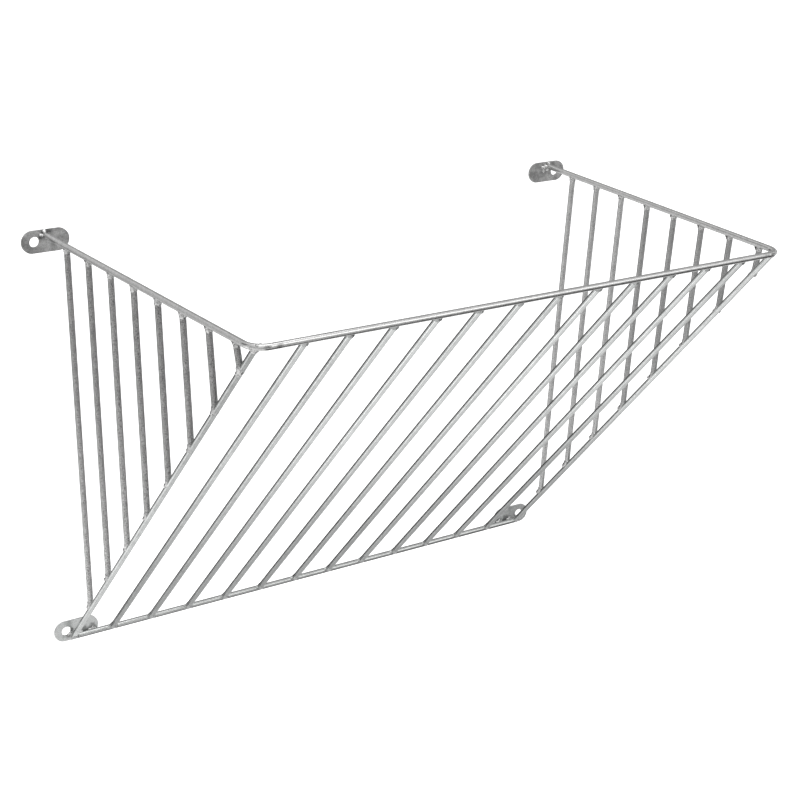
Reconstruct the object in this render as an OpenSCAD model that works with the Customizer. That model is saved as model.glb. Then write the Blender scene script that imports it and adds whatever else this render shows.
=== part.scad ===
// Wall-mounted hay rack feeder, welded from round wire.
// Millimetres. The origin is the middle of the line through the two upper bolt holes,
// on the wall. +X runs along the wall, -Y points away from it, +Z is up.

/* [Wire] */
// Diameter of the wire bent into the top rim
rim_d = 8; // [5:0.5:10]
// Diameter of the straight bar along the bottom
bottom_d = 8; // [5:0.5:10]
// Diameter of the front bars
bar_d = 8; // [5:0.5:10]
// Diameter of the side wires
side_d = 8; // [5:0.5:10]
// How far short of the mating wire's centre line a wire end stops
end_gap = 2; // [1:0.25:2.5]

/* [Rack] */
// Height from the bottom bar's centre line to the rim's
drop = 585; // [300:1:800]
// Distance from the wall to the centre line of the front rail
depth = 510; // [250:1:700]
// Angle by which each side rail flares outwards from the front corner to the wall
flare_angle = 1.8; // [0:0.1:5]
// Centre-line radius of the rim's two bends
bend_r = 21; // [12:1:60]

/* [Front grid] */
// Number of front bars, counting the two end bars
bar_count = 14; // [8:1:20]
// Spacing of the front bars
bar_pitch = 60; // [40:0.5:90]

/* [Side grids] */
// Number of wires on each side
side_count = 8; // [4:1:12]
// Distance from the wall to the first side wire
side_first = 66; // [30:1:100]
// Spacing of the side wires
side_pitch = 58; // [35:0.5:80]

/* [Wall tabs] */
// Length of a tab, with round ends
tab_len = 66; // [45:1:90]
// Height of a tab
tab_h = 30; // [20:1:40]
// Thickness of a tab
tab_t = 3; // [2:0.5:6]
// Diameter of the bolt hole
hole_d = 14; // [6:0.5:16]
// Distance of the bolt hole from the middle of the tab, towards the outer end
hole_off = 15.5; // [5:0.5:25]
// Distance from the middle plane to the middle of an upper tab
tab_top_x = 410.5; // [200:0.5:500]
// Distance from the middle plane to the middle of a lower tab
tab_low_x = 383.5; // [200:0.5:500]
// Distance between a tab's centre line and the wire welded to it
tab_wire_off = 8.5; // [0:0.5:12]

/* [Hidden] */
$fn = 48;
steel = [0.66, 0.67, 0.67];
steel_dark = [0.55, 0.56, 0.56];

// centre-line heights and the bottom bar's distance from the wall
rim_z = tab_wire_off;
bottom_z = rim_z - drop;
low_hole_z = bottom_z + tab_wire_off;
bottom_y = -tab_t - bottom_d / 2;
// the end bars meet the rim at the middle of its bends
end_x = (bar_count - 1) / 2 * bar_pitch;
corner_x = end_x + bend_r * (1 - sqrt(0.5));
turn = 90 - flare_angle;
bend_x = corner_x - bend_r * tan(turn / 2);
bend_y = -depth + bend_r;
// how far the front bars lean out from the wall for each unit of height
lean = (depth + bottom_y) / drop;

function bar_x(i) = (i - (bar_count + 1) / 2) * bar_pitch;
function side_y(i) = -side_first - (i - 1) * side_pitch;
// centre line of the side rail, and of the end bar, at distance y from the wall
function rail_x(y) = corner_x + (depth + y) * tan(flare_angle);
function end_bar_z(y) = bottom_z + (bottom_y - y) / lean;

// a round wire from p to q
module wire(p, q, d) {
    v = q - p;
    translate(p) rotate([0, acos(v[2] / norm(v)), atan2(v[1], v[0])])
        cylinder(h = norm(v), d = d);
}

// a little over half of a bend, swept from the +X direction round towards +Y
module half_bend(d) {
    rotate_extrude(angle = turn / 2 + 6) translate([bend_r, 0]) circle(d = d);
}

// one half of the rim: half the front rail, the bend and the side rail, flush against its tab
module half_rim(d) {
    difference() {
        translate([bend_x, bend_y, rim_z]) {
            translate([0, -bend_r, 0]) rotate([0, -90, 0]) cylinder(h = bend_x, d = d);
            rotate([0, 0, -90]) half_bend(d);
            rotate([0, 0, -flare_angle]) {
                mirror([0, 1, 0]) half_bend(d);
                translate([bend_r, 0, 0]) rotate([-90, 0, 0]) cylinder(h = depth, d = d);
            }
        }
        translate([corner_x - 50, -tab_t, rim_z - 50]) cube([150, depth, 100]);
    }
}

module rim_wire() {
    color(steel) {
        half_rim(rim_d);
        mirror([1, 0, 0]) half_rim(rim_d);
    }
}

module bottom_bar() {
    color(steel)
        wire([-end_x - bar_d / 2, bottom_y, bottom_z], [end_x + bar_d / 2, bottom_y, bottom_z], bottom_d);
}

// the right bend on its own, which shapes the top of the end bar
module right_bend(d) {
    translate([bend_x, bend_y, rim_z]) rotate([0, 0, -90])
        rotate_extrude(angle = turn) translate([bend_r, 0]) circle(d = d);
}

// a wire of the front grid whose top stands set_back behind the front rail's centre line
module front_wire(x, set_back) {
    top = [x, -depth + set_back, rim_z];
    foot = [x, bottom_y, bottom_z];
    u = (top - foot) / norm(top - foot);
    wire(foot + u * end_gap, top - u * end_gap, bar_d);
}

// a bar of the front grid; both ends are shaped to the wire they meet
module front_bar(i) {
    color(steel) difference() {
        front_wire(bar_x(i), 0);
        rim_wire();
        bottom_bar();
    }
}

// the right end bar; its top meets the middle of the bend
module end_bar() {
    color(steel) difference() {
        front_wire(end_x, bend_r * (1 - sqrt(0.5)));
        right_bend(rim_d);
        bottom_bar();
    }
}

// a side wire hangs from the side rail down to the end bar
module side_wire(i) {
    y = side_y(i);
    top = [rail_x(y), y, rim_z];
    foot = [end_x, y, end_bar_z(y)];
    u = (top - foot) / norm(top - foot);
    color(steel) difference() {
        wire(foot + u * end_gap, top - u * end_gap, side_d);
        half_rim(rim_d);
        wire([end_x, bottom_y, bottom_z], [end_x, -depth, rim_z], bar_d);
    }
}

module wall_tab(x, z) {
    r = tab_h / 2;
    color(steel_dark) translate([x, 0, z]) rotate([90, 0, 0]) difference() {
        union() {
            translate([-tab_len / 2 + r, -r, 0]) cube([tab_len - tab_h, tab_h, tab_t]);
            for (s = [-1, 1]) translate([s * (tab_len / 2 - r), 0, 0]) cylinder(h = tab_t, r = r);
        }
        translate([hole_off, 0, -1]) cylinder(h = tab_t + 2, d = hole_d);
    }
}

module left(i) { mirror([1, 0, 0]) side_wire(i); }

rim_wire();
bottom_bar();
mirror([1, 0, 0]) end_bar();  // front_bar_01
front_bar(2);  // front_bar_02
front_bar(3);  // front_bar_03
front_bar(4);  // front_bar_04
front_bar(5);  // front_bar_05
front_bar(6);  // front_bar_06
front_bar(7);  // front_bar_07
front_bar(8);  // front_bar_08
front_bar(9);  // front_bar_09
front_bar(10);  // front_bar_10
front_bar(11);  // front_bar_11
front_bar(12);  // front_bar_12
front_bar(13);  // front_bar_13
end_bar();  // front_bar_14
left(1);  // left_side_wire_1
left(2);  // left_side_wire_2
left(3);  // left_side_wire_3
left(4);  // left_side_wire_4
left(5);  // left_side_wire_5
left(6);  // left_side_wire_6
left(7);  // left_side_wire_7
left(8);  // left_side_wire_8
side_wire(1);  // right_side_wire_1
side_wire(2);  // right_side_wire_2
side_wire(3);  // right_side_wire_3
side_wire(4);  // right_side_wire_4
side_wire(5);  // right_side_wire_5
side_wire(6);  // right_side_wire_6
side_wire(7);  // right_side_wire_7
side_wire(8);  // right_side_wire_8
mirror([1, 0, 0]) wall_tab(tab_top_x, 0);  // wall_tab_upper_left
wall_tab(tab_top_x, 0);  // wall_tab_upper_right
mirror([1, 0, 0]) wall_tab(tab_low_x, low_hole_z);  // wall_tab_lower_left
wall_tab(tab_low_x, low_hole_z);  // wall_tab_lower_right
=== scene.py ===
"""Looks for the wall-mounted hay rack: zinc-coated wire, weld beads, floor, light and camera."""
import math

import bmesh
import bpy
import numpy as np
from mathutils import Matrix, Vector, noise


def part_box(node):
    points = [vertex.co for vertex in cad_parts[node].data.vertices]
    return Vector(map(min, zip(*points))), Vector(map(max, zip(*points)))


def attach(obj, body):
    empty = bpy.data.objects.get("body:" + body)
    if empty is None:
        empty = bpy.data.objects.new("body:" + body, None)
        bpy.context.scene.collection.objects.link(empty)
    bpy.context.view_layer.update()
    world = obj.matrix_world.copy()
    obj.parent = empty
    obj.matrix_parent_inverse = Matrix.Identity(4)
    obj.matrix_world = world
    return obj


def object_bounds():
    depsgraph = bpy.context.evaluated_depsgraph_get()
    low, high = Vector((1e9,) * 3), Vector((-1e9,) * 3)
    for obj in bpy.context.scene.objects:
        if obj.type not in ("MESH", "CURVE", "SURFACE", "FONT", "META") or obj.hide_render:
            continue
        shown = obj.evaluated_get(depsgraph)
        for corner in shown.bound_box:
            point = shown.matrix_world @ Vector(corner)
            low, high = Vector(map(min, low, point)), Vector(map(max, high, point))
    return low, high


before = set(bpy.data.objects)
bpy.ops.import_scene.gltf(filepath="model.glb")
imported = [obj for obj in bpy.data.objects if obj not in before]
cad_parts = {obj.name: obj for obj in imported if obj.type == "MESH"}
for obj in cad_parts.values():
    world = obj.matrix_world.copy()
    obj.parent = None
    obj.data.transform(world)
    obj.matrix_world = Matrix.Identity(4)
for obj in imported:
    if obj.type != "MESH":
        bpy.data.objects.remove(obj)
cad_lo, cad_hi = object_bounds()
scene = bpy.context.scene
MM = 0.001
BEND_RADIUS = 21 * MM  # the rim's bends, to the wire's centre line


def toward(azimuth, elevation):
    """Direction from the rack, in degrees: azimuth 0 is in front, +90 to its right, elevation 90 is up."""
    a, e = math.radians(azimuth), math.radians(elevation)
    return Vector((math.sin(a) * math.cos(e), -math.cos(a) * math.cos(e), math.sin(e)))


# ---------------------------------------------------------------- camera
def make_camera():
    """The photograph's view: 35 degrees to the rack's left, 21 above, a short telephoto lens."""
    back = toward(-35.10, 21.07)
    roll = math.radians(2.25)
    data = bpy.data.cameras.new("camera")
    data.lens, data.sensor_width = 83.06, 36.0
    data.clip_start, data.clip_end = 0.05, 50.0
    cam = bpy.data.objects.new("camera", data)
    scene.collection.objects.link(cam)
    turn = (-back).to_track_quat("-Z", "Y").to_matrix() @ Matrix.Rotation(roll, 3, "Z")
    cam.matrix_world = Matrix.Translation((-1.3418, -2.1322, 0.6778)) @ turn.to_4x4()
    scene.camera = cam


make_camera()


# ---------------------------------------------------------------- node helpers
class Nodes:
    """The node tree of a material or world, with short calls to add and join nodes."""

    def __init__(self, owner):
        owner.use_nodes = True
        self.tree = owner.node_tree
        self.tree.nodes.clear()

    def add(self, kind, inputs=None, **settings):
        node = self.tree.nodes.new(kind)
        for key, value in settings.items():
            setattr(node, key, value)
        for key, value in (inputs or {}).items():
            if isinstance(value, bpy.types.NodeSocket):
                self.tree.links.new(value, node.inputs[key])
            else:
                node.inputs[key].default_value = value
        return node

    def ramp(self, value, stops):
        node = self.add("ShaderNodeValToRGB", {"Fac": value})
        while len(node.color_ramp.elements) < len(stops):
            node.color_ramp.elements.new(0.5)
        for element, (where, grey) in zip(node.color_ramp.elements, stops):
            element.position = where
            element.color = (grey, grey, grey, 1)
        return node.outputs["Color"]

    def maths(self, kind, a, b):
        return self.add("ShaderNodeMath", {0: a, 1: b}, operation=kind).outputs[0]

    def noise(self, where, scale, detail=3.0, rough=0.55):
        node = self.add("ShaderNodeTexNoise", {"Vector": where, "Scale": scale,
                                               "Detail": detail, "Roughness": rough})
        return node.outputs["Fac"]


# how many of each pattern's cells fit in a metre; "wires" are the tones from one wire to the next
PER_METRE = {"speckle": 900.0, "clouds": 95.0, "streaks": 700.0, "lumps": 420.0, "flakes": 260.0,
             "wires": 14.0}


def zinc(name, tone, tint=(1.0, 1.0, 1.0), grain_along=None, rough=0.40, cloud=0.5, lump=0.10,
         speck=0.5, metal=0.92, painted_light_by_height=(1.0, 1.0), painted_light_span=(0.0, 1.0), batch=None, dark_spots_and_painted_shade=()):
    """Zinc coating: fine dark speckle, soft clouds, drawn streaks along the wire and small lumps.

    tone is the grey and tint its colour. rough, cloud, speck and metal are shares from 0 to 1, though
    speck may be a little more, and lump is the height of the bumps in millimetres.
    painted_light_by_height is the tone's share low and high on the rack, between the two shares of its height
    in painted_light_span: painted light and shade, lighter or darker towards the bottom.
    batch is the axis across the wires and how far their tones differ. dark_spots_and_painted_shade are
    (place, radius) of darker patches, some of them painted shade and shadow beside joints.
    """
    material = bpy.data.materials.new(name)
    n = Nodes(material)
    where = n.add("ShaderNodeTexCoord").outputs["Object"]
    streak_at = where
    if grain_along is not None:
        turn = Vector(grain_along).to_track_quat("Z", "Y").inverted().to_euler()
        turned = n.add("ShaderNodeMapping", {"Vector": where, "Rotation": turn})
        streak_at = n.add("ShaderNodeMapping", {"Vector": turned.outputs[0],
                                                "Scale": (1.0, 1.0, 0.06)}).outputs[0]
    speckle = n.noise(where, PER_METRE["speckle"], 2.0, 0.6)
    clouds = n.noise(where, PER_METRE["clouds"], 4.0, 0.6)
    streaks = n.noise(streak_at, PER_METRE["streaks"], 3.0, 0.5)
    lumps = n.noise(where, PER_METRE["lumps"], 3.0, 0.5)
    cells = n.add("ShaderNodeTexVoronoi", {"Vector": where, "Scale": PER_METRE["flakes"], "Randomness": 1.0})
    flake = n.add("ShaderNodeSeparateColor", {"Color": cells.outputs["Color"]}).outputs[0]

    speck_v = n.ramp(speckle, ((0.38, 1 - 0.60 * speck), (0.49, 1.0 - 0.14 * speck), (0.60, 1.0)))
    cloud_v = n.ramp(clouds, ((0.36, 1 - 0.42 * cloud), (0.50, 1 - 0.16 * cloud), (0.62, 1.0)))
    streak_v = n.ramp(streaks, ((0.32, 0.84), (0.62, 1.0)))
    flake_v = n.ramp(flake, ((0.0, 0.90), (1.0, 1.0)))
    value = n.maths("MULTIPLY", n.maths("MULTIPLY", speck_v, cloud_v),
                    n.maths("MULTIPLY", streak_v, flake_v))
    place = n.add("ShaderNodeSeparateXYZ", {0: where}).outputs
    # painted light and shade: the tone turns lighter or darker towards the bottom of the rack
    if painted_light_by_height != (1.0, 1.0):
        tall = cad_hi.z - cad_lo.z
        value = n.maths("MULTIPLY", value, n.add("ShaderNodeMapRange", {
            "Value": place["Z"], "From Min": cad_lo.z + painted_light_span[0] * tall,
            "From Max": cad_lo.z + painted_light_span[1] * tall, "To Min": painted_light_by_height[0], "To Max": painted_light_by_height[1]},
            interpolation_type="SMOOTHSTEP").outputs[0])
    if batch is not None:
        across = n.add("ShaderNodeCombineXYZ", {0: place[batch[0]]}).outputs[0]
        value = n.maths("MULTIPLY", value, n.ramp(n.noise(across, PER_METRE["wires"], 0.0, 0.5),
                                                  ((0.38, 1 - batch[1]), (0.62, 1.0))))
    # darker patches: painted shadow of the bottom bar on the lower tabs, painted shade under the rail by its
    # bends, and darker spots round the rail's ends
    for spot, radius in dark_spots_and_painted_shade:
        away = n.add("ShaderNodeVectorMath", {0: where, 1: tuple(spot)}, operation="DISTANCE")
        ragged = n.maths("ADD", away.outputs["Value"],
                         n.maths("MULTIPLY", n.maths("SUBTRACT", clouds, 0.5), 2.2 * radius))
        value = n.maths("MULTIPLY", value, n.add("ShaderNodeMapRange", {
            "Value": ragged, "From Min": 0.35 * radius, "From Max": radius, "To Min": 0.46, "To Max": 1.0},
            interpolation_type="SMOOTHSTEP").outputs[0])
    colour = n.add("ShaderNodeMix", {0: 1.0, 6: (tone * tint[0], tone * tint[1], tone * tint[2], 1),
                                     7: n.add("ShaderNodeCombineColor",
                                              {0: value, 1: value, 2: value}).outputs[0]},
                   data_type="RGBA", blend_type="MULTIPLY").outputs[2]
    rough_v = n.maths("ADD", n.maths("MULTIPLY", clouds, 0.22), n.maths("MULTIPLY", speckle, 0.12))
    rough_v = n.maths("ADD", rough_v, rough - 0.17)  # the two patterns add 0.17 on average
    height = n.maths("ADD", n.maths("MULTIPLY", lumps, 0.6), n.maths("MULTIPLY", speckle, 0.25))
    height = n.maths("ADD", height, n.maths("MULTIPLY", streaks, 0.35))
    bump = n.add("ShaderNodeBump", {"Strength": 0.8, "Distance": lump * MM, "Height": height})
    shader = n.add("ShaderNodeBsdfPrincipled", {"Base Color": colour, "Metallic": metal,
                                                "Roughness": rough_v, "Normal": bump.outputs[0]})
    n.add("ShaderNodeOutputMaterial", {"Surface": shader.outputs[0]})
    return material


# ---------------------------------------------------------------- what the frame says
bar_lo, bar_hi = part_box("bottom_bar")
wire_r = (bar_hi.z - bar_lo.z) / 2
bottom_y, bottom_z = (bar_lo.y + bar_hi.y) / 2, (bar_lo.z + bar_hi.z) / 2
rim_lo, rim_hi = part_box("rim_wire")
rim_z = (rim_lo.z + rim_hi.z) / 2
front_y = rim_lo.y + wire_r
bar_run = Vector((0, bottom_y - front_y, bottom_z - rim_z)).normalized()  # down along the front bars
front_bars = sorted(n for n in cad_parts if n.startswith("front_bar"))
side_wires = {side: sorted(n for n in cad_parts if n.startswith(side)) for side in ("left", "right")}

# ---------------------------------------------------------------- materials
cool, warm = (0.980, 1.0, 0.992), (1.0, 1.0, 0.995)
tab_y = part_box("wall_tab_lower_left")[0].y  # the front face of all four tabs
# darker patches beside the beads: round the rail's end on the upper tabs; painted shadow of the bar on the
# lower tabs, in millimetres, in from the bar's end, up from its centre line, and the radius; and painted
# shade under the front rail at its two bends
upper_dark_spots = [(Vector((s * (rim_hi.x - wire_r), tab_y, rim_z)), 9 * MM) for s in (-1, 1)]
# painted shadow on the lower tabs, just above the bottom bar
lower_painted_shadow = [(Vector((s * (bar_hi.x - inset * MM), tab_y, bottom_z + up * MM)), r * MM)
                for s in (-1, 1) for inset, up, r in ((-1, 5, 10), (20, 5, 9), (36, 3, 9))]
# painted shade on the rail's underside, just in from each bend
rim_painted_shade = [(Vector((s * (bar_hi.x - inset * MM), front_y - 1.5 * MM, rim_z - 1.2 * wire_r)), 9 * MM)
              for s in (-1, 1) for inset in (16, 27)]
steel_rim = zinc("zinc_rim", 0.84, warm, (1, 0, 0), rough=0.20, cloud=0.22, lump=0.05, speck=0.3,
                 dark_spots_and_painted_shade=rim_painted_shade)
# the two tone shares low and high on the rack, on the bars and wires here, are painted light and shade:
# darker low on the front bars, darker high on the left end bar, lighter low on the side wires
steel_front = zinc("zinc_front_bars", 0.94, cool, tuple(bar_run), rough=0.20, cloud=0.16, lump=0.04,
                   speck=0.2, painted_light_by_height=(0.52, 1.0), painted_light_span=(0.12, 0.70), batch=("X", 0.14))
steel_front_left = zinc("zinc_front_bars_left", 0.84, cool, tuple(bar_run), rough=0.20, cloud=0.30,
                        lump=0.04, speck=0.3, painted_light_by_height=(0.58, 1.0), painted_light_span=(0.12, 0.70))
steel_end = zinc("zinc_left_end_bar", 0.94, cool, tuple(bar_run), rough=0.22, cloud=0.30, lump=0.05,
                 painted_light_by_height=(0.96, 0.60), painted_light_span=(0.35, 1.0))
steel_left = zinc("zinc_left_wires", 0.80, warm, (0, 0, 1), rough=0.46, cloud=0.4, metal=0.8, speck=1.25,
                  painted_light_by_height=(1.34, 0.80), batch=("Y", 0.10))
steel_right = zinc("zinc_right_wires", 0.86, warm, (0, 0, 1), rough=0.30, cloud=0.30,
                   painted_light_by_height=(1.14, 0.98), batch=("Y", 0.06))
steel_right_fore = zinc("zinc_right_wires_fore", 0.74, warm, (0, 0, 1), rough=0.30, cloud=0.40,
                        painted_light_by_height=(1.30, 0.92), batch=("Y", 0.10))
steel_bottom = zinc("zinc_bottom_bar", 0.68, cool, (1, 0, 0), rough=0.18, cloud=0.25, lump=0.03,
                    speck=0.3)
steel_tab = zinc("zinc_upper_tabs", 0.74, warm, None, rough=0.46, cloud=1.0, lump=0.14, metal=0.7,
                 dark_spots_and_painted_shade=upper_dark_spots)
# painted light: the lower-left tab gets a lighter copy of the tabs' zinc, for the light that falls on it
steel_low_left_painted_lit = zinc("zinc_lower_left_tab_painted_light", 0.98, cool, None, rough=0.36, cloud=0.30, lump=0.10,
                      metal=0.75, speck=0.3, dark_spots_and_painted_shade=lower_painted_shadow)
steel_low_right = zinc("zinc_lower_right_tab", 0.80, cool, None, rough=0.50, cloud=0.8, lump=0.12,
                       metal=0.4, dark_spots_and_painted_shade=lower_painted_shadow)
bright_weld = zinc("zinc_welds", 0.92, warm, None, rough=0.12, cloud=0.5, lump=0.24, speck=0.6)
dull_weld = zinc("zinc_dull_welds", 0.66, cool, None, rough=0.16, cloud=0.5, lump=0.24, speck=0.5)


def paint(node, material):
    """Give a CAD node its material."""
    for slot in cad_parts[node].material_slots:
        slot.material = material


paint("rim_wire", steel_rim)
paint("bottom_bar", steel_bottom)
for group, material in ((front_bars[:1], steel_end), (front_bars[1:3], steel_front_left),
                        (front_bars[3:], steel_front), (side_wires["left"], steel_left),
                        (side_wires["right"][:3], steel_right), (side_wires["right"][3:], steel_right_fore)):
    for node in group:
        paint(node, material)
for node, material in (("wall_tab_upper_left", steel_tab), ("wall_tab_upper_right", steel_tab),
                       ("wall_tab_lower_left", steel_low_left_painted_lit), ("wall_tab_lower_right", steel_low_right)):
    paint(node, material)
    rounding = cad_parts[node].modifiers.new("worn_edges", "BEVEL")
    rounding.width, rounding.segments, rounding.limit_method = 0.5 * MM, 3, "ANGLE"
    rounding.harden_normals = True


# ---------------------------------------------------------------- weld beads
def ball_mesh(detail):
    """Directions and faces of a unit ball, from which every bead is grown."""
    bm = bmesh.new()
    bmesh.ops.create_icosphere(bm, subdivisions=detail, radius=1.0)
    verts = np.array([v.co[:] for v in bm.verts])
    faces = [[v.index for v in f.verts] for f in bm.faces]
    bm.free()
    return verts / np.linalg.norm(verts, axis=1, keepdims=True), faces


BALL, BALL_FACES = ball_mesh(4)


def capsule(p, a, b, r):
    """Distance from each point p to the capsule from a to b."""
    a, b = np.array(a, float), np.array(b, float)
    ab = b - a
    t = np.clip(((p - a) @ ab) / max(ab @ ab, 1e-12), 0, 1)
    return np.linalg.norm(p - a - t[:, None] * ab, axis=1) - r


def smooth_union(distances, k):
    """Distance to several shapes run together, with fillets of about k between them."""
    out = distances[0]
    for d in distances[1:]:
        h = np.clip(0.5 + 0.5 * (d - out) / k, 0, 1)
        out = d * (1 - h) + out * h - k * h * (1 - h)
    return out


def bead(centre, parts, seed, blend=1.6 * MM, lumps=0.3 * MM):
    """Points of one weld bead: a lumpy skin over capsules (start, end, radius), grown from its centre."""
    centre = np.array(centre, float)
    far = max(np.linalg.norm(np.array(q, float) - centre) + r for a, b, r in parts for q in (a, b))
    reach = np.full(len(BALL), far * 1.3)  # start outside, then walk inwards until the skin is met
    for _ in range(40):
        p = centre + BALL * reach[:, None]
        gap = smooth_union([capsule(p, a, b, r) for a, b, r in parts], blend)
        reach = np.maximum(reach - 0.8 * gap, 0.2 * MM)
    p = centre + BALL * reach[:, None]
    # coarse and fine lumps, about 3 and 1.5 mm apart
    wobble = np.array([noise.noise(Vector(q) * 300.0 + Vector((seed * 7.3, seed * 3.1, 0)))
                       + 0.7 * noise.noise(Vector(q) * 650.0 + Vector((0, seed * 5.7, 0)))
                       for q in p])
    return p + BALL * (wobble * lumps)[:, None]


def beads_object(name, material, beads):
    """One mesh that holds a group of beads, each a closed skin."""
    verts, faces = [], []
    for pts in beads:
        base = len(verts)
        verts += [tuple(q) for q in pts]
        faces += [[base + i for i in f] for f in BALL_FACES]
    mesh = bpy.data.meshes.new(name)
    mesh.from_pydata(verts, [], faces)
    mesh.polygons.foreach_set("use_smooth", [True] * len(faces))
    mesh.materials.append(material)
    obj = bpy.data.objects.new(name, mesh)
    scene.collection.objects.link(obj)
    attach(obj, "root")


def rnd(seed, k, lo, hi):
    """A repeatable number between lo and hi."""
    return lo + (hi - lo) * (0.5 + 0.5 * math.sin(seed * 12.9898 + k * 78.233) ** 3)


ex, ey, ez = Vector((1, 0, 0)), Vector((0, 1, 0)), Vector((0, 0, 1))
up_front = Vector((0, bar_run.z, -bar_run.y))  # out of the front grid, away from the wall
bend_set_back = BEND_RADIUS * (1 - math.sqrt(0.5))  # the end bars meet the rim in its bends
w = wire_r  # every bead is sized in wire radii, and rnd() varies it from joint to joint


def front_tops():
    """Beads under the rim: the two in its bends, and the row between them."""
    corners, tops, last = [], [], len(front_bars) - 1
    for i, node in enumerate(front_bars):
        lo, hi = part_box(node)
        joint = Vector(((lo.x + hi.x) / 2, front_y + (bend_set_back if i in (0, last) else 0), rim_z))
        at = joint + bar_run * 1.3 * w
        s = 1 if rnd(i, 1, -1, 1) > 0 else -1
        # a collar round the bar, a long and a short run along the rim, and a crown in front
        parts = [
            (joint + bar_run * 0.9 * w, joint + bar_run * rnd(i, 2, 1.5, 1.9) * w, rnd(i, 3, 1.04, 1.14) * w),
            (at - ex * s * 0.6 * w - bar_run * 0.5 * w, at - ex * s * 1.5 * w - bar_run * 0.6 * w, 0.42 * w),
            (at + ex * s * 0.6 * w - bar_run * 0.4 * w, at + ex * s * 1.2 * w - bar_run * 0.5 * w, 0.50 * w),
            (at + up_front * 0.45 * w - ex * 0.3 * w, at + up_front * 0.5 * w + ex * 0.3 * w, 0.55 * w)]
        if i in (0, last):  # a heavier saddle that covers the bend
            away = -ex if i == 0 else ex
            parts += [(joint + bar_run * 0.6 * w, joint + bar_run * 0.5 * w - away * 1.5 * w, 0.85 * w),
                      (joint - ey * 0.4 * w + ez * 0.25 * w, joint - ey * 0.3 * w - away * 1.3 * w, 0.85 * w)]
            corners.append(bead(at, parts, i + 1, lumps=0.20 * w))
        else:
            tops.append(bead(at, parts, i + 1, lumps=0.16 * w))
    return corners, tops


def front_feet():
    """Beads where the front bars stand on the bottom bar."""
    made = []
    for i, node in enumerate(front_bars):
        lo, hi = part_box(node)
        joint = Vector(((lo.x + hi.x) / 2, bottom_y, bottom_z))
        left, right = rnd(i, 4, 0.7, 1.5), rnd(i, 5, 0.5, 1.1)
        # a collar round the bar, a bed along the bottom bar, and a run up the left side
        made.append(bead(joint - bar_run * 0.9 * w, [
            (joint - bar_run * 0.8 * w, joint - bar_run * rnd(i, 6, 1.6, 2.1) * w, rnd(i, 7, 1.05, 1.14) * w),
            (joint + Vector((-left, -0.30, 0.22)) * w, joint + Vector((right, -0.30, 0.16)) * w, 0.84 * w),
            (joint + Vector((-left - 0.5, -0.15, 0.45)) * w, joint + Vector((0, -0.4, 0.8)) * w, 0.55 * w),
        ], i + 31, lumps=0.11 * w))
    return made


def side_joints(side):
    """Beads of one side's wires: under the side rail, with a web towards the wall, and on the end bar."""
    tops, feet = [], []
    sign = -1 if side == "left" else 1
    on_bar = Vector((0, -bar_run.z, bar_run.y)).normalized()  # from the end bar towards the wall, upwards
    for k, node in enumerate(side_wires[side]):
        lo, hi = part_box(node)
        y = (lo.y + hi.y) / 2
        outer, inner = (lo.x, hi.x) if side == "left" else (hi.x, lo.x)
        top = Vector((outer - sign * w, y, rim_z))
        run = (bottom_y - y) / (bottom_y - front_y)
        foot = Vector((inner + sign * w, y, bottom_z + run * (rim_z - bottom_z)))
        down = (foot - top).normalized()
        seed = 61 + k + (20 if side == "right" else 0)
        reach = rnd(seed, 3, 2.3, 3.3) if side == "left" else rnd(seed, 3, 1.4, 2.0)
        # at the rail, a collar round the wire, then the web's thin edge and its body
        tops.append(bead(top + down * 1.2 * w + ey * 0.2 * w, [
            (top + down * 0.9 * w, top + down * rnd(seed, 2, 1.5, 2.0) * w, rnd(seed, 4, 1.04, 1.12) * w),
            (top + down * 1.05 * w + ey * reach * w, top + down * (reach + 0.4) * w + ey * 0.8 * w, 0.32 * w),
            (top + down * 1.0 * w + ey * 0.55 * reach * w, top + down * 1.9 * w + ey * 0.5 * w, 0.52 * w),
        ], seed, lumps=0.18 * w))
        # at the end bar, a collar round the wire and a bed along the bar
        seat = foot + on_bar * 1.2 * w
        feet.append(bead(seat - down * 0.3 * w, [
            (foot - down * 1.5 * w, foot - down * rnd(seed, 5, 2.4, 3.0) * w, rnd(seed, 6, 1.10, 1.20) * w),
            (seat - bar_run * 0.2 * w, seat + bar_run * rnd(seed, 7, 0.3, 0.7) * w,
             rnd(seed, 8, 0.98, 1.12) * w),
        ], seed + 11, lumps=0.16 * w))
    return tops, feet


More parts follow.
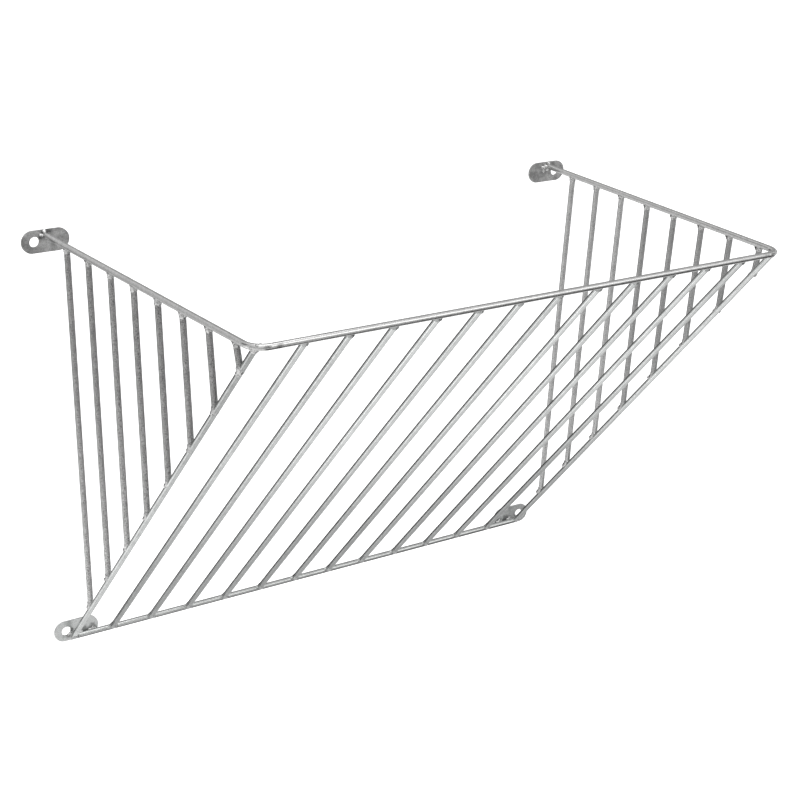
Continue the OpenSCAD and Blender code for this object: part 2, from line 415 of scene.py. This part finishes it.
def tab_welds():
    """Beads on the four tabs: round the rail's end on the upper ones, along the bar on the lower ones."""
    made = []
    for k, sign in enumerate((-1, 1)):
        at = Vector((sign * (rim_hi.x - w), tab_y, rim_z))
        # blobs above, below and on both sides of the rail's end: outwards, upwards, radius
        for j, (dx, dz, r) in enumerate(((0.15, 1.25, 0.55), (-0.45, -1.25, 0.62), (1.25, 0.1, 0.45),
                                         (-1.3, 0.2, 0.50))):
            spot = at + Vector((dx * sign, -0.1, dz)) * w
            made.append(bead(spot, [(spot, at + Vector((dx * sign * 0.7, -0.6, dz * 0.7)) * w, r * w),
                                    (spot + ex * 0.35 * w, spot - ex * 0.35 * w, r * 0.8 * w)],
                             131 + 5 * k + j, lumps=0.08 * w))
    spot = Vector((rim_hi.x - 3.1 * w, tab_y - 0.1 * w, rim_z - 0.7 * w))  # a drip of zinc, only here
    made.append(bead(spot, [(spot + Vector((-0.6, 0, 0.5)) * w, spot + Vector((0.7, 0, 0.3)) * w, 0.75 * w),
                            (spot, spot - ez * 1.2 * w, 0.6 * w)], 147, lumps=0.16 * w))
    for k, sign in enumerate((-1, 1)):
        for j, inset in enumerate((0.2, 3.6, 8.6)):  # in from the bar's end
            spot = Vector((sign * (bar_hi.x - inset * w), tab_y - 0.2 * w, bottom_z + 0.75 * w))
            made.append(bead(spot, [(spot - ex * (0.8 + 0.3 * j) * w, spot + ex * 0.9 * w, 0.50 * w),
                                    (spot, spot + ez * 0.7 * w, 0.42 * w)], 151 + 5 * k + j, lumps=0.08 * w))
        spot = Vector((sign * (bar_hi.x - 0.1 * w), bottom_y + 0.3 * w, bottom_z))
        made.append(bead(spot, [(spot, spot - ex * sign * 0.5 * w, 0.80 * w),
                                (spot, spot + ey * 0.5 * w, 0.65 * w)], 161 + k, lumps=0.08 * w))
    return made


left_tops, left_feet = side_joints("left")
right_tops, right_feet = side_joints("right")
front_corners, front_top_beads = front_tops()
for name, metal, beads in (("welds_front_corners", bright_weld, front_corners),
                           ("welds_front_tops", dull_weld, front_top_beads),
                           ("welds_front_feet", dull_weld, front_feet()),
                           ("welds_left_tops", bright_weld, left_tops),
                           ("welds_left_feet", bright_weld, left_feet),
                           ("welds_right_tops", bright_weld, right_tops),
                           ("welds_right_feet", bright_weld, right_feet)):
    beads_object(name, metal, beads)
beads_object("welds_wall_tabs", bright_weld, tab_welds())


# ---------------------------------------------------------------- floor, light
def make_floor():
    """A pale floor far below the rack, which hangs on its wall. Neither mirrored nor a source of light."""
    half, z = 30.0, cad_lo.z - 0.45
    mesh = bpy.data.meshes.new("floor")
    mesh.from_pydata([(-half, -half, z), (half, -half, z), (half, half, z), (-half, half, z)], [],
                     [(0, 1, 2, 3)])
    material = bpy.data.materials.new("pale_floor")
    n = Nodes(material)
    shader = n.add("ShaderNodeBsdfPrincipled", {"Base Color": (0.86, 0.86, 0.86, 1), "Roughness": 0.9,
                                                "Emission Color": (1, 1, 1, 1), "Emission Strength": 0.8})
    n.add("ShaderNodeOutputMaterial", {"Surface": shader.outputs[0]})
    mesh.materials.append(material)
    floor = bpy.data.objects.new("floor", mesh)
    scene.collection.objects.link(floor)
    floor.visible_glossy = False
    floor.visible_diffuse = False


def softbox(name, azimuth, elevation, distance, size, power, target):
    """A rectangular lamp in a direction from its target, facing it."""
    back = toward(azimuth, elevation)
    data = bpy.data.lights.new(name, "AREA")
    data.shape, data.size, data.size_y, data.energy = "RECTANGLE", size[0], size[1], power
    lamp = bpy.data.objects.new(name, data)
    scene.collection.objects.link(lamp)
    lamp.location = target + back * distance
    lamp.rotation_mode = "QUATERNION"
    lamp.rotation_quaternion = (-back).to_track_quat("-Z", "Y")


# the studio that the wires mirror: azimuth, elevation, inner and outer radius in degrees, then the share
# of the light that is left, or the light that is added
DIM_ZONES = ((198, -11, 9, 16, 0.15), (182, -12, 13, 22, 0.10), (151, -14, 13, 24, 0.20),
             (134, 40, 24, 40, 0.52), (45, -44, 22, 36, 0.10), (-5, -14, 20, 38, 0.70),
             (-76, 4, 6, 18, 0.25), (4, 24, 6, 18, 0.25), (-120, 24, 12, 26, 0.25), (66, 14, 8, 20, 0.30))
BRIGHT_ZONES = ((37, 24, 6, 16, 1.7), (40, 44, 10, 26, 0.20), (80, 68, 8, 18, 0.40),
                (-122, -40, 6, 15, 1.1), (-60, -62, 20, 50, 0.08), (-95, -5, 15, 40, 0.20),
                (22, -33, 8, 18, 1.1), (-37, 38, 14, 28, 0.6))


def make_world():
    """A white studio with dim and bright zones. The camera itself sees plain white."""
    world = bpy.data.worlds.new("studio")
    scene.world = world
    n = Nodes(world)
    where = n.add("ShaderNodeTexCoord").outputs["Generated"]
    height = n.add("ShaderNodeSeparateXYZ", {0: where}).outputs["Z"]
    light = n.ramp(n.maths("MULTIPLY", n.maths("ADD", height, 1.0), 0.5),
                   ((0.0, 1.08), (0.18, 1.0), (0.32, 0.88), (0.50, 0.76), (0.62, 0.82), (1.0, 0.95)))

    def zone(azimuth, elevation, inner, outer):
        to = tuple(toward(azimuth, elevation))
        near = n.add("ShaderNodeVectorMath", {0: where, 1: to}, operation="DOT_PRODUCT").outputs["Value"]
        return n.add("ShaderNodeMapRange",
                     {"Value": near, "From Min": math.cos(math.radians(outer)),
                      "From Max": math.cos(math.radians(inner)), "To Min": 0.0, "To Max": 1.0},
                     interpolation_type="SMOOTHSTEP").outputs[0]

    for azimuth, elevation, inner, outer, share in DIM_ZONES:
        dim = n.maths("MULTIPLY", zone(azimuth, elevation, inner, outer), 1 - share)
        light = n.maths("MULTIPLY", light, n.maths("SUBTRACT", 1.0, dim))
    for azimuth, elevation, inner, outer, power in BRIGHT_ZONES:
        light = n.maths("ADD", light, n.maths("MULTIPLY", zone(azimuth, elevation, inner, outer), power))
    lit = n.add("ShaderNodeBackground", {"Strength": light})
    seen = n.add("ShaderNodeBackground", {"Color": (0.98, 0.98, 0.98, 1)})
    eye = n.add("ShaderNodeLightPath").outputs["Is Camera Ray"]
    mix = n.add("ShaderNodeMixShader", {0: eye, 1: lit.outputs[0], 2: seen.outputs[0]})
    n.add("ShaderNodeOutputWorld", {"Surface": mix.outputs[0]})


make_floor()
make_world()
softbox("top", 0, 86, distance=2.4, size=(1.8, 1.2), power=10, target=(cad_lo + cad_hi) / 2)
scene.view_settings.view_transform = "Standard"
